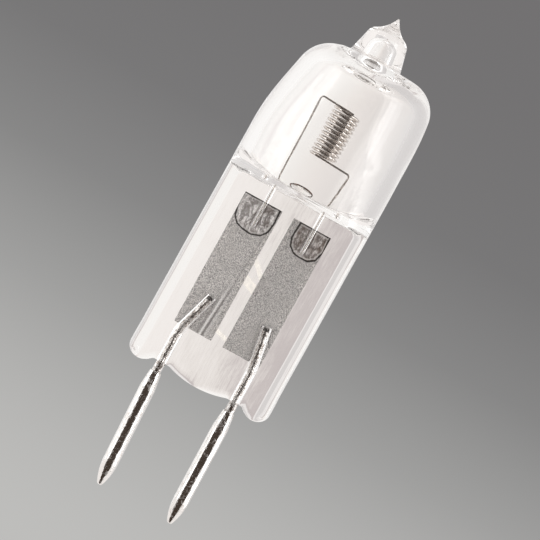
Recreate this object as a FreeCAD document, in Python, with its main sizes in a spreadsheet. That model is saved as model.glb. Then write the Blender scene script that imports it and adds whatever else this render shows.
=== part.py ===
import FreeCAD, Part
import math
import os
import Sketcher

# Clear quartz halogen capsule lamp with a two-pin base.
# +Z runs along the lamp's axis to the exhaust tip, and the flat press seal faces -Y and +Y.
# The origin lies midway between the pins, at the height where their parallel shanks begin.

SIZES = [
    ("pin_spacing", 6.35, "centre to centre of the contact pins"),
    ("pin_diameter", 1.25, "parallel shank"),
    ("pin_shank", 6.2, "length of the parallel shank"),
    ("pin_point", 2.05, "length of the rounded point"),
    ("pin_end_diameter", 0.36, "small flat at the end of the point"),
    ("pin_shoulder", 1.35, "cone above the shank"),
    ("pin_lip", 0.07, "wall of the wire's socket at the top of the cone"),
    ("socket_depth", 1.1, "hole in the top of the cone that takes the wire"),
    ("socket_clearance", 0.015, "radial room of the wire in its socket"),
    ("wire_end_gap", 0.15, "room between the wire's end and the floor of its socket"),
    ("lead_diameter", 0.74, "wire from foil to pin"),
    ("lead_bend", 4.0, "radius of the bend in the wire"),
    ("lead_bend_rise", 2.8, "start of the bend above the glass foot"),
    ("lead_set_left", 0.97, "how far the left wire leans in from its pin"),
    ("lead_set_right", 0.57, "how far the right wire leans in from its pin"),
    ("lead_lap", 2.9, "overlap of wire and foil"),
    ("weld_flat", 0.09, "depth of the flat where a wire is pressed on its foil"),
    ("capillary", 0.07, "room between a wire and the glass around it"),
    ("foil_lift", 3.77, "lower edge of the foils above the glass foot"),
    ("foil_length", 11.22, "along the lamp's axis"),
    ("foil_width", 3.2, "across the lamp's axis"),
    ("foil_thickness", 0.08, "middle of the foil"),
    ("foil_edge", 0.02, "thickness of the feathered edges"),
    ("foil_bevel", 0.5, "width of the feathered edges"),
    ("foil_inner_left", 0.64, "lamp axis to the left foil"),
    ("foil_inner_right", 0.36, "lamp axis to the right foil"),
    ("pocket_inset_left", 0.04, "foil edge to the unbonded pocket on the left foil"),
    ("pocket_inset_right", 0.45, "foil edge to the unbonded pocket on the right foil"),
    ("pocket_side", 1.65, "straight sides of an unbonded pocket"),
    ("pocket_bow", 1.0, "depth of its rounded end"),
    ("pocket_depth", 0.26, "room in front of the foil"),
    ("foot_height", 1.65, "lowest point of the glass above the mount plane"),
    ("foot_middle_rise", 0.13, "middle lobe of the foot above the outer lobes"),
    ("foot_notch_rise", 0.55, "foot at the wires above the outer lobes"),
    ("foot_notch_width", 1.3, "width of the flat at each wire"),
    ("foot_corner_rise", 1.05, "height of the rounded outer corners"),
    ("body_diameter", 12.06, "quartz tube"),
    ("wall", 1.05, "quartz tube"),
    ("rib_thickness", 3.3, "press seal over its side ribs"),
    ("rib_width", 0.83, "side ribs"),
    ("flat_thickness", 2.8, "press seal between the ribs"),
    ("flat_corner", 0.6, "upper corners of the pressed flat"),
    ("press_margin", 1.31, "top of the press faces above the foils"),
    ("neck_radius", 0.12, "hollow between a press face and the bulb's shoulder"),
    ("shoulder_radius", 0.2, "rounded lower edge of the bulb, seen from the side"),
    ("floor_rise", 0.45, "floor of the gas space above the press faces"),
    ("floor_corner", 1.2, "rounded edge of that floor"),
    ("bulb_height", 12.0, "press faces to roof"),
    ("barrel_start", 3.6, "where the wall starts to draw in above the press faces"),
    ("barrel_radius", 36.0, "drawn-in stretch of the wall"),
    ("dome_radius", 2.66, "edge of the roof"),
    ("roof_wall", 1.1, "thickness of the roof"),
    ("tip_root_diameter", 4.2, "exhaust tip at the roof"),
    ("tip_neck_diameter", 3.36, "exhaust tip at its shoulder"),
    ("tip_skirt", 1.9, "height of the tapered part of the tip"),
    ("tip_shoulder_radius", 0.82, "rounded shoulder of the tip"),
    ("tip_nib_rise", 1.22, "point of the tip above its shoulder"),
    ("tip_nib_diameter", 0.16, "flat end of the point"),
    ("tip_nib_flare", 0.85, "centre of the nib's hollow flank above the point"),
    ("tip_bore_diameter", 1.9, "hollow in the tip"),
    ("tip_bore_rise", 1.6, "end of that hollow above the roof"),
    ("filament_wire", 0.19, "tungsten wire"),
    ("coil_diameter", 2.28, "outside of the coil"),
    ("coil_pitch", 0.342, "rise of one turn"),
    ("coil_turns", 12, "whole turns"),
    ("coil_rise", 3.12, "lower end of the coil above the floor of the gas space"),
    ("leg_spread_left", 2.3, "lamp axis to the left leg at the coil"),
    ("leg_spread_right", 2.49, "lamp axis to the right leg at the coil"),
    ("leg_inset_left", 1.36, "foil edge to the left leg"),
    ("leg_inset_right", 1.76, "foil edge to the right leg"),
    ("leg_lap", 2.05, "overlap of leg and foil"),
    ("leg_corner", 0.22, "bend from coil to leg"),
    ("leg_knee", 3.0, "slight bend of the leg above the floor"),
    ("leg_knee_rise", 0.6, "that bend above the floor of the gas space"),
    ("leg_weld_flat", 0.02, "depth of the flat where a leg is pressed on its foil"),
    ("overcut", 1.0, "reach of a cutting outline past the glass"),
]
SIDES = {"left": -1, "right": 1}
CAPILLARY_SIDES = 8
FILAMENT_SIDES = 4

doc = FreeCAD.newDocument("halogen_capsule_bulb")
sheet = doc.addObject("Spreadsheet::Sheet", "Sizes")
for row, (name, number, note) in enumerate(SIZES, start=1):
    sheet.set(f"A{row}", str(number))
    sheet.setAlias(f"A{row}", name)
    sheet.set(f"B{row}", note)
doc.recompute()


class Dim:
    """A size with its present value and the sheet expression that drives it."""

    def __init__(self, value, text):
        self.value = value
        self.text = text

    @staticmethod
    def wrap(item):
        return item if isinstance(item, Dim) else Dim(float(item), str(item))

    def joined(self, sign, other, value):
        return Dim(value, f"({self.text} {sign} {other.text})")

    def __add__(self, other):
        other = Dim.wrap(other)
        return self.joined("+", other, self.value + other.value)

    def __sub__(self, other):
        other = Dim.wrap(other)
        return self.joined("-", other, self.value - other.value)

    def __mul__(self, other):
        other = Dim.wrap(other)
        return self.joined("*", other, self.value * other.value)

    def __truediv__(self, other):
        other = Dim.wrap(other)
        return self.joined("/", other, self.value / other.value)

    def __neg__(self):
        return Dim(-self.value, f"(-1 * {self.text})")

    def root(self):
        return Dim(math.sqrt(self.value), f"sqrt({self.text})")

    def squared(self):
        return self * self


def size(name):
    return Dim(float(sheet.get(name)), f"Sizes.{name}")


ZERO = Dim(0.0, "0")


def rise_radius(run, rise):
    """Radius of an arc that starts level and climbs by rise over run."""
    return (run.squared() + rise.squared()) / (rise * 2)


class Outline:
    """A sketch on one of a body's planes, whose corners and radii are held by the sheet."""

    def __init__(self, body, name, plane, offset=None):
        self.sketch = body.newObject("Sketcher::SketchObject", name)
        support = next(item for item in body.Origin.OriginFeatures if item.Role == plane)
        self.sketch.AttachmentSupport = [(support, "")]
        self.sketch.MapMode = "FlatFace"
        if offset is not None:
            self.sketch.setExpression("AttachmentOffset.Base.z", offset.text)

    def hold(self, kind, geometry, point, length):
        if length.text == ZERO.text:
            axis = -2 if kind == "DistanceX" else -1
            self.sketch.addConstraint(Sketcher.Constraint("PointOnObject", geometry, point, axis))
            return
        index = self.sketch.addConstraint(
            Sketcher.Constraint(kind, -1, 1, geometry, point, length.value))
        self.sketch.setExpression(f"Constraints[{index}]", length.text)

    def radius(self, geometry, length):
        index = self.sketch.addConstraint(Sketcher.Constraint("Radius", geometry, length.value))
        self.sketch.setExpression(f"Constraints[{index}]", length.text)

    def polygon(self, centre, radius, count):
        """Regular polygon whose sides touch a circle of the given radius."""
        reach = radius / math.cos(math.pi / count)
        corners = []
        for step in range(count):
            angle = (2 * step + 1) * math.pi / count
            corners.append((centre[0] + reach * math.cos(angle), centre[1] + reach * math.sin(angle)))
        return self.chain(corners[0], corners[1:] + corners[:1])

    def circle(self, centre, radius):
        place = FreeCAD.Vector(centre[0].value, centre[1].value, 0)
        ring = Part.Circle(place, FreeCAD.Vector(0, 0, 1), radius.value)
        index = self.sketch.addGeometry(ring)
        self.hold("DistanceX", index, 3, centre[0])
        self.hold("DistanceY", index, 3, centre[1])
        self.radius(index, radius)
        return self.sketch

    def chain(self, start, moves, closed=True):
        """Draw moves from start: (x, y) is a line, (x, y, radius, turn) an arc, +1 turning left."""
        corners = [start] + [move[:2] for move in moves]
        ends = []
        for here, move in zip(corners, moves):
            if len(move) == 2:
                ends.append((self.line(here, move), 1, 2))
            else:
                ends.append(self.arc(here, move[:2], move[2], move[3]))
        for (edge, first, _), corner in zip(ends, corners):
            self.hold("DistanceX", edge, first, corner[0])
            self.hold("DistanceY", edge, first, corner[1])
        for before, after in zip(ends, ends[1:]):
            self.sketch.addConstraint(
                Sketcher.Constraint("Coincident", before[0], before[2], after[0], after[1]))
        if closed:
            self.sketch.addConstraint(
                Sketcher.Constraint("Coincident", ends[-1][0], ends[-1][2], ends[0][0], ends[0][1]))
        else:
            self.hold("DistanceX", ends[-1][0], ends[-1][2], corners[-1][0])
            self.hold("DistanceY", ends[-1][0], ends[-1][2], corners[-1][1])
        return self.sketch

    def line(self, here, there):
        first = FreeCAD.Vector(here[0].value, here[1].value, 0)
        last = FreeCAD.Vector(there[0].value, there[1].value, 0)
        return self.sketch.addGeometry(Part.LineSegment(first, last))

    def arc(self, here, there, radius, turn):
        first = FreeCAD.Vector(here[0].value, here[1].value, 0)
        last = FreeCAD.Vector(there[0].value, there[1].value, 0)
        half = (last - first) * 0.5
        reach = math.sqrt(max(radius.value ** 2 - half.Length ** 2, 0.0))
        inward = FreeCAD.Vector(-half.y, half.x, 0).normalize() * reach * turn
        centre = first + half + inward
        angles = [math.atan2(point.y - centre.y, point.x - centre.x) for point in (first, last)]
        if turn < 0:
            angles.reverse()
        ring = Part.Circle(centre, FreeCAD.Vector(0, 0, 1), radius.value)
        index = self.sketch.addGeometry(Part.ArcOfCircle(ring, angles[0], angles[1]))
        self.radius(index, radius)
        return (index, 1, 2) if turn > 0 else (index, 2, 1)


def new_body(label):
    body = doc.addObject("PartDesign::Body", label)
    body.Label = label
    return body


def revolve(body, name, sketch):
    feature = body.newObject("PartDesign::Revolution", name)
    feature.Profile = sketch
    feature.ReferenceAxis = (sketch, ["V_Axis"])
    feature.Angle = 360
    return feature


def extrude(body, kind, name, sketch, length, side="One side", reverse=False):
    feature = body.newObject(f"PartDesign::{kind}", name)
    feature.Profile = sketch
    feature.SideType = side
    feature.Reversed = reverse
    feature.setExpression("Length", length.text)
    return feature


def expect_cut(body, before):
    """Stop the build where a cut took nothing away."""
    doc.recompute()
    if body.Shape.Volume >= before:
        raise RuntimeError(f"{body.Label}: a cut removed nothing")
    return body.Shape.Volume


# Heights along the lamp's axis, from the pins up
foot = size("foot_height")
foil_base = foot + size("foil_lift")
foil_top = foil_base + size("foil_length")
press_top = foil_top + size("press_margin")
shoulder = press_top + size("neck_radius")
floor = press_top + size("floor_rise")
roof = press_top + size("bulb_height")
inner_roof = roof - size("roof_wall")
socket_floor = size("pin_shoulder") - size("socket_depth")

# Radii and depths shared by several pieces
pin_radius = size("pin_diameter") / 2
pin_reach = size("pin_spacing") / 2
lead_radius = size("lead_diameter") / 2
wire_radius = size("filament_wire") / 2
body_radius = size("body_diameter") / 2
gas_radius = body_radius - size("wall")
foil_front = lead_radius - size("weld_flat")
coil_radius = (size("coil_diameter") - size("filament_wire")) / 2
leg_depth = foil_front - wire_radius + size("leg_weld_flat")


def wall_points(radius, barrel, dome, top):
    """Where the straight wall, the drawn-in stretch, the dome edge and the roof meet, in that order."""
    start = press_top + size("barrel_start")
    barrel_x = radius - barrel
    dome_z = top - dome
    gap = barrel - dome
    dome_x = barrel_x + (gap.squared() - (dome_z - start).squared()).root()
    meet_x = barrel_x + (dome_x - barrel_x) * barrel / gap
    meet_z = start + (dome_z - start) * barrel / gap
    halfway = dome * math.sqrt(0.5)
    return (radius, start), (meet_x, meet_z), (dome_x + halfway, dome_z + halfway), (dome_x, top)


def tip_moves():
    """Exhaust tip from the roof to its point: tapered skirt, round shoulder, flared nib."""
    root = size("tip_root_diameter") / 2
    neck = size("tip_neck_diameter") / 2
    skirt = size("tip_skirt")
    shoulder = size("tip_shoulder_radius")
    nib = size("tip_nib_diameter") / 2
    flare = size("tip_nib_flare")
    slant = ((root - neck).squared() + skirt.squared()).root()
    centre_x = neck - shoulder * skirt / slant
    centre_z = roof + skirt - shoulder * (root - neck) / slant
    top = centre_z + shoulder + size("tip_nib_rise")

    # The nib's hollow flank is an arc through the point that touches the shoulder
    inset = centre_x - nib
    height = top + flare - centre_z
    excess = inset.squared() + height.squared() - flare.squared() - shoulder.squared()
    spare = excess.squared() - (shoulder * flare).squared() * 4
    swing = ((excess * inset).squared() - (inset.squared() - shoulder.squared()) * spare).root()
    run = spare / ((excess * inset + swing) * 2)
    draw = (run.squared() + flare.squared()).root()
    share = shoulder / (shoulder + draw)
    meet_x = centre_x + (nib + run - centre_x) * share
    meet_z = centre_z + height * share
    return [
        (root, roof),
        (neck, roof + skirt),
        (meet_x, meet_z, shoulder, 1),
        (nib, top, draw, -1),
        (ZERO, top),
    ]


def make_glass_blank():
    """Quartz tube with dome and tip, pressed flat below the bulb; still without its hollows."""
    body = new_body("GlassBlank")
    base = foot - size("overcut")
    below = base - size("overcut")
    outside = body_radius + size("overcut")
    start = (ZERO, base)
    barrel = size("barrel_radius")
    dome = size("dome_radius")
    straight, drawn, _, level = wall_points(body_radius, barrel, dome, roof)
    moves = [(body_radius, base), straight, (*drawn, barrel, 1), (*level, dome, 1), *tip_moves(), start]
    revolve(body, "Tube", Outline(body, "TubeProfile", "XZ_Plane").chain(start, moves))
    doc.recompute()
    volume = body.Shape.Volume

    # The jaws of the press leave two faces that end under the bulb's shoulder
    face = size("rib_thickness") / 2
    neck = size("neck_radius")
    edge = size("shoulder_radius")
    for side, turn in (("Front", -1), ("Back", 1)):
        jaw = Outline(body, f"{side}JawProfile", "YZ_Plane").chain((face * turn, below), [
            (face * turn, press_top),
            ((face + neck) * turn, shoulder, neck, -turn),
            ((body_radius - edge) * turn, shoulder),
            (body_radius * turn, shoulder + edge, edge, turn),
            (outside * turn, shoulder + edge),
            (outside * turn, below),
            (face * turn, below),
        ])
        extrude(body, "Pocket", f"{side}Jaw", jaw, outside * 2, side="Symmetric")
        volume = expect_cut(body, volume)

    # Between its side ribs the seal is pressed thinner
    flat_x = body_radius - size("rib_width")
    corner = size("flat_corner")
    for side, turn in (("Front", 1), ("Back", -1)):
        depth = size("flat_thickness") / 2 * turn
        flat = Outline(body, f"{side}FlatProfile", "XZ_Plane", depth).chain((-flat_x, below), [
            (flat_x, below),
            (flat_x, press_top - corner),
            (flat_x - corner, press_top, corner, 1),
            (corner - flat_x, press_top),
            (-flat_x, press_top - corner, corner, 1),
            (-flat_x, below),
        ])
        extrude(body, "Pocket", f"{side}Flat", flat, outside, reverse=turn > 0)
        volume = expect_cut(body, volume)

    # The foot hangs down in three soft lobes, with a notch where each wire leaves the glass
    notch = size("foot_notch_width") / 2
    inner = pin_reach - notch
    outer = pin_reach + notch
    lobe = (outer + body_radius) / 2
    notch_z = foot + size("foot_notch_rise")
    corner_z = foot + size("foot_corner_rise")
    middle_bow = rise_radius(inner, size("foot_notch_rise") - size("foot_middle_rise"))
    lobe_bow = rise_radius(lobe - outer, size("foot_notch_rise"))
    corner_bow = rise_radius(body_radius - lobe, size("foot_corner_rise"))
    foot_line = Outline(body, "FootProfile", "XZ_Plane").chain((-outside, below), [
        (outside, below),
        (outside, corner_z),
        (body_radius, corner_z),
        (lobe, foot, corner_bow, -1),
        (outer, notch_z, lobe_bow, -1),
        (inner, notch_z),
        (-inner, notch_z, middle_bow, -1),
        (-outer, notch_z),
        (-lobe, foot, lobe_bow, -1),
        (-body_radius, corner_z, corner_bow, -1),
        (-outside, corner_z),
        (-outside, below),
    ])
    extrude(body, "Pocket", "Foot", foot_line, outside * 2, side="Symmetric")
    expect_cut(body, volume)
    return body


def make_gas_space():
    """The sealed hollow of the bulb, from its rounded floor to the bore in the exhaust tip."""
    body = new_body("GasSpace")
    corner = size("floor_corner")
    bore = size("tip_bore_diameter") / 2
    bore_top = roof + size("tip_bore_rise")
    wall = size("wall")
    start = (ZERO, floor)
    halfway = corner * (1 - math.sqrt(0.5))
    moves = [
        (gas_radius - corner, floor),
        (gas_radius - halfway, floor + halfway),
        (gas_radius, floor + corner),
    ]
    moves += wall_points(gas_radius, size("barrel_radius") - wall, size("dome_radius") - wall, inner_roof)
    moves += [(bore, inner_roof), (bore, bore_top), (ZERO, bore_top), start]
    revolve(body, "Bulb", Outline(body, "BulbProfile", "XZ_Plane").chain(start, moves))
    return body


def make_foil(side):
    """Molybdenum foil with feathered edges, one face against the wires."""
    hand = SIDES[side]
    body = new_body(f"foil_{side}")
    inner = size(f"foil_inner_{side}")
    outer = inner + size("foil_width")
    bevel = size("foil_bevel")
    back = foil_front + size("foil_thickness")
    rim_front = foil_front + (size("foil_thickness") - size("foil_edge")) / 2
    rim_back = rim_front + size("foil_edge")
    corners = [
        (inner, rim_front),
        (inner + bevel, foil_front),
        (outer - bevel, foil_front),
        (outer, rim_front),
        (outer, rim_back),
        (outer - bevel, back),
        (inner + bevel, back),
        (inner, rim_back),
    ]
    corners = [(x * hand, y) for x, y in corners]
    section = Outline(body, f"FoilSection_{side}", "XY_Plane", foil_base)
    section.chain(corners[0], corners[1:] + corners[:1])
    extrude(body, "Pad", f"Foil_{side}", section.sketch, size("foil_length"))
    return body


def make_pocket(side):
    """Hollow in front of a foil's upper end, where the glass did not bond."""
    hand = SIDES[side]
    body = new_body(f"Pocket_{side}")
    inner = size(f"foil_inner_{side}") + size(f"pocket_inset_{side}")
    outer = size(f"foil_inner_{side}") + size("foil_width")
    end = foil_top - size("pocket_side")
    bow = rise_radius((outer - inner) / 2, size("pocket_bow"))
    outline = Outline(body, f"PocketProfile_{side}", "XZ_Plane", -foil_front).chain(
        (inner * hand, foil_top), [
            (inner * hand, end),
            (outer * hand, end, bow, hand),
            (outer * hand, foil_top),
            (inner * hand, foil_top),
        ])
    extrude(body, "Pad", f"PocketRoom_{side}", outline, size("pocket_depth"))
    return body


def make_lead(side, label, room, start_z):
    """Round wire from its pin to its foil, or the hollow of that wire where room is not zero."""
    hand = SIDES[side]
    body = new_body(label)
    bend = size("lead_bend")
    set_in = size(f"lead_set_{side}")
    bend_z = foot + size("lead_bend_rise")
    end_x = pin_reach - set_in
    end_z = foil_base + size("lead_lap")
    run = bend - set_in
    climb = end_z - bend_z
    span = run.squared() + climb.squared()
    along = bend.squared() / span
    across = bend * (span - bend.squared()).root() / span
    touch_x = pin_reach - bend + run * along + climb * across
    touch_z = bend_z + climb * along - run * across
    slant = ((end_x - touch_x).squared() + (end_z - touch_z).squared()).root()
    top_x = end_x + (end_x - touch_x) * room / slant
    top_z = end_z + (end_z - touch_z) * room / slant
    path = Outline(body, f"{label}_path", "XZ_Plane").chain((pin_reach * hand, start_z), [
        (pin_reach * hand, bend_z),
        (touch_x * hand, touch_z, bend, hand),
        (top_x * hand, top_z),
    ], closed=False)
    ring = Outline(body, f"{label}_section", "XY_Plane", start_z)
    if room is ZERO:
        ring.circle((pin_reach * hand, ZERO), lead_radius)
    else:
        ring.polygon((pin_reach * hand, ZERO), lead_radius + room, CAPILLARY_SIDES)
    doc.recompute()
    pipe = body.newObject("PartDesign::AdditivePipe", f"{label}_wire")
    pipe.Profile = ring.sketch
    pipe.Spine = (path, ["Edge1", "Edge2", "Edge3"])
    doc.recompute()
    volume = body.Shape.Volume

    # The wire is pressed flat where it lies on the foil
    near = end_x - size("lead_diameter")
    far = pin_reach + size("lead_diameter")
    low = foil_base - size("capillary")
    high = end_z + size("overcut")
    flat = Outline(body, f"{label}_flat_profile", "XZ_Plane", -foil_front).chain((near * hand, low), [
        (far * hand, low),
        (far * hand, high),
        (near * hand, high),
        (near * hand, low),
    ])
    extrude(body, "Pocket", f"{label}_flat", flat, size("lead_diameter"))
    expect_cut(body, volume)
    return body


def make_pin(side):
    """Contact pin: rounded point, parallel shank, and a cone with a socket for the wire."""
    body = new_body(f"contact_pin_{side}")
    socket = lead_radius + size("socket_clearance")
    point = -(size("pin_shank") + size("pin_point"))
    end = size("pin_end_diameter") / 2
    start = (ZERO, point)
    profile = Outline(body, f"PinProfile_{side}", "XZ_Plane").chain(start, [
        (end, point),
        (pin_radius, -size("pin_shank"), rise_radius(size("pin_point"), pin_radius - end), 1),
        (pin_radius, ZERO),
        (socket + size("pin_lip"), size("pin_shoulder")),
        (socket, size("pin_shoulder")),
        (socket, socket_floor),
        (ZERO, socket_floor),
        start,
    ])
    revolve(body, f"Pin_{side}", profile)
    body.setExpression("Placement.Base.x", (pin_reach * SIDES[side]).text)
    return body


def make_leg_channel(side):
    """Narrow hollow that the glass leaves around a filament leg between gas space and foil."""
    leg_x = (size(f"foil_inner_{side}") + size(f"leg_inset_{side}")) * SIDES[side]
    channel = doc.addObject("Part::Cylinder", f"LegChannel_{side}")
    channel.setExpression("Radius", (wire_radius + size("capillary")).text)
    channel.setExpression("Height", (floor + size("capillary") - foil_top).text)
    channel.setExpression("Placement.Base.x", leg_x.text)
    channel.setExpression("Placement.Base.y", leg_depth.text)
    channel.setExpression("Placement.Base.z", foil_top.text)
    return channel


def bend_wire(points, radii):
    """Edges of a wire through points, with a tangent arc at each inner one."""
    edges = []
    here = points[0]
    for before, corner, after, radius in zip(points, points[1:], points[2:], radii):
        inward = (corner - before).normalize()
        outward = (after - corner).normalize()
        half_turn = inward.getAngle(outward) / 2
        reach = radius * math.tan(half_turn)
        first = corner - inward * reach
        last = corner + outward * reach
        middle = corner + (outward - inward).normalize() * radius * (1 / math.cos(half_turn) - 1)
        edges.append(Part.LineSegment(here, first).toShape())
        edges.append(Part.Arc(first, middle, last).toShape())
        here = last
    edges.append(Part.LineSegment(here, points[-1]).toShape())
    return edges


def make_filament():
    """One tungsten wire: an upright coil, and two legs that leave its back and run down to the foils."""
    radius = coil_radius.value
    pitch = size("coil_pitch").value
    height = pitch * size("coil_turns").value
    base = floor.value + size("coil_rise").value
    coil = Part.makeHelix(pitch, height, radius)
    coil.Placement = FreeCAD.Placement(
        FreeCAD.Vector(0, 0, base), FreeCAD.Rotation(FreeCAD.Vector(0, 0, 1), 90))
    slope = pitch / (2 * math.pi * radius)
    knee_z = floor.value + size("leg_knee_rise").value
    weld_z = foil_top.value - size("leg_lap").value
    legs = {}
    for side, hand in SIDES.items():
        spread = size(f"leg_spread_{side}").value
        leg_x = hand * (size(f"foil_inner_{side}") + size(f"leg_inset_{side}")).value
        end_z = base if hand > 0 else base + height
        legs[side] = bend_wire([
            FreeCAD.Vector(0, radius, end_z),
            FreeCAD.Vector(hand * spread, radius, end_z - hand * spread * slope),
            FreeCAD.Vector(leg_x, leg_depth.value, knee_z),
            FreeCAD.Vector(leg_x, leg_depth.value, weld_z),
        ], [size("leg_corner").value, size("leg_knee").value])
    route = Part.Wire(Part.__sortEdges__(legs["left"] + coil.Edges + legs["right"]))
    first = legs["left"][-1]
    end = first.valueAt(first.LastParameter)
    full_turn = 2 * math.pi
    step_angle = full_turn / FILAMENT_SIDES
    same_area = math.sqrt(full_turn / (FILAMENT_SIDES * math.sin(step_angle)))
    ring = []
    for step in range(FILAMENT_SIDES + 1):
        angle = (step + 0.5) * step_angle
        spoke = FreeCAD.Vector(math.cos(angle), math.sin(angle), 0)
        ring.append(end + spoke * wire_radius.value * same_area)
    wire = route.makePipeShell([Part.makePolygon(ring)], True, False)
    behind = Part.makeBox(body_radius.value * 2, body_radius.value, size("foil_length").value,
                          FreeCAD.Vector(-body_radius.value, foil_front.value, foil_base.value))
    filament = doc.addObject("Part::Feature", "filament")
    filament.Label = "filament"
    filament.Shape = wire.cut(behind)
    filament.Placement = FreeCAD.Placement()
    return filament


blank = make_glass_blank()
gas = make_gas_space()
foils = [make_foil(side) for side in SIDES]
pockets = [make_pocket(side) for side in SIDES]
leads = [make_lead(side, f"lead_{side}", ZERO, socket_floor + size("wire_end_gap")) for side in SIDES]
channels = [make_lead(side, f"LeadChannel_{side}", size("capillary"), foot - size("overcut"))
            for side in SIDES]
pins = [make_pin(side) for side in SIDES]
leg_channels = [make_leg_channel(side) for side in SIDES]
filament = make_filament()

hollows = doc.addObject("Part::MultiFuse", "Hollows")
hollows.Shapes = [gas] + foils + pockets + channels + leg_channels
glass = doc.addObject("Part::Cut", "glass_envelope")
glass.Label = "glass_envelope"
glass.Base = blank
glass.Tool = hollows
doc.recompute()

for item in doc.Objects:
    if "Invalid" in item.State or "Error" in item.State:
        raise RuntimeError(f"{item.Label} failed: {item.State}")

pieces = [glass, filament] + foils + leads + pins
for piece in pieces:
    if piece.Shape.isNull() or not piece.Shape.isValid():
        raise RuntimeError(f"{piece.Label} has no valid shape")

os.makedirs("parts", exist_ok=True)
for piece in pieces:
    piece.Shape.exportStep(f"parts/{piece.Label}.step")
    print(f"{piece.Label}: {len(piece.Shape.Solids)} solid, {piece.Shape.Volume:.3f} cubic mm")
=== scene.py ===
# %% [markdown]
# A halogen capsule lamp
#
# The lamp is a blown quartz capsule: a round bulb with an exhaust tip, a coiled tungsten filament inside,
# and a flat press seal with two metal foils, from which two contact pins stand out.
# The solid model arrives as a fixed frame in metres. Its boxes give the main sizes, and every finer piece
# below is worked out from them, so that it sits where the solid one does.

# %% Load the frame and read its sizes
import math

import bmesh
import bpy
from mathutils import Matrix, Vector, noise


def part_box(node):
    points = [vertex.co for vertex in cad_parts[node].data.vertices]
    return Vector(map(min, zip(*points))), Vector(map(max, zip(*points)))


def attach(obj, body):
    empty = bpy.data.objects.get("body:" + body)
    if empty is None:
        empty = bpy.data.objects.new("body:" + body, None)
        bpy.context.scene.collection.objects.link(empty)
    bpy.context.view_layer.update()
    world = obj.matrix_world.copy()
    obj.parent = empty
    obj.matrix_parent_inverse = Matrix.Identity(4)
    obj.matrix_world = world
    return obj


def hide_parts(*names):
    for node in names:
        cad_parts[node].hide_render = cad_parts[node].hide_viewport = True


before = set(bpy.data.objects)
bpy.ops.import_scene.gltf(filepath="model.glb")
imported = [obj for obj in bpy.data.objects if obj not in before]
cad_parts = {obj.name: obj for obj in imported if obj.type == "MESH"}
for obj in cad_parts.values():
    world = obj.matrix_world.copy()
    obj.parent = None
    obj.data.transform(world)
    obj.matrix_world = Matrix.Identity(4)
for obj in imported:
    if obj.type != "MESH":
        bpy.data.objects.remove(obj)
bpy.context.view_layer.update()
MM = 0.001
SIDES = {"left": -1, "right": 1}


def box_mm(node):
    low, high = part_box(node)
    return low / MM, high / MM


glass_low, glass_high = box_mm("glass_envelope")
BODY_RADIUS = glass_high.x
FOOT_Z = glass_low.z
TIP_Z = glass_high.z
foil_boxes = {side: box_mm(f"foil_{side}") for side in SIDES}
lead_boxes = {side: box_mm(f"lead_{side}") for side in SIDES}
pin_boxes = {side: box_mm(f"contact_pin_{side}") for side in SIDES}
FOIL_BASE = foil_boxes["left"][0].z
FOIL_TOP = foil_boxes["left"][1].z
FOIL_FRONT = foil_boxes["left"][0].y
FOIL_BACK = foil_boxes["left"][1].y
print(f"capsule radius {BODY_RADIUS:.2f} mm, foot at {FOOT_Z:.2f}, tip at {TIP_Z:.2f}")

# %% [markdown]
# Meshes from rings
#
# Every round piece of the lamp can be drawn as a stack of rings: the capsule, its gas space, the wires and
# the pins. One helper skins such a stack and closes its ends. It merges doubled points and turns the faces
# outwards, because a glass surface that faces the wrong way bends light the wrong way too.


# %% Helpers that skin a stack of rings
def has_area(ring):
    """False for a ring that has closed to a line or a point."""
    total = Vector((0.0, 0.0, 0.0))
    for here, there in zip(ring, ring[1:] + ring[:1]):
        total += Vector(here).cross(Vector(there))
    return total.length > 1e-4


def skin(rings, inward=False, capped=True):
    """Closed bmesh through rings of equal length, in mm."""
    shell = bmesh.new()
    rows = [[shell.verts.new(Vector(point) * MM) for point in ring] for ring in rings]
    count = len(rings[0])
    for lower, upper in zip(rows, rows[1:]):
        for i in range(count):
            j = (i + 1) % count
            shell.faces.new((lower[i], lower[j], upper[j], upper[i]))
    if capped and has_area(rings[0]):
        shell.faces.new(list(reversed(rows[0])))
    if capped and has_area(rings[-1]):
        shell.faces.new(rows[-1])
    bmesh.ops.remove_doubles(shell, verts=shell.verts, dist=1e-8)
    bmesh.ops.dissolve_degenerate(shell, edges=shell.edges, dist=1e-8)
    bmesh.ops.recalc_face_normals(shell, faces=shell.faces)
    if inward:
        bmesh.ops.reverse_faces(shell, faces=shell.faces)
    return shell


def merge_shells(name, shells):
    """One smooth-shaded object from several shells."""
    mesh = bpy.data.meshes.new(name)
    whole = bmesh.new()
    for shell in shells:
        part = bpy.data.meshes.new(name + "_part")
        shell.to_mesh(part)
        whole.from_mesh(part)
        shell.free()
        bpy.data.meshes.remove(part)
    whole.to_mesh(mesh)
    whole.free()
    mesh.shade_smooth()
    piece = bpy.data.objects.new(name, mesh)
    bpy.context.scene.collection.objects.link(piece)
    return piece


def count_triangles(piece):
    return sum(len(face.vertices) - 2 for face in piece.data.polygons)


# %% [markdown]
# Shader maths in plain Python
#
# Node trees are easier to read as sums than as noodles. One small class wraps a socket so that +, -, * and /
# add Math nodes, and one function adds any other node with its settings and links.


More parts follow.
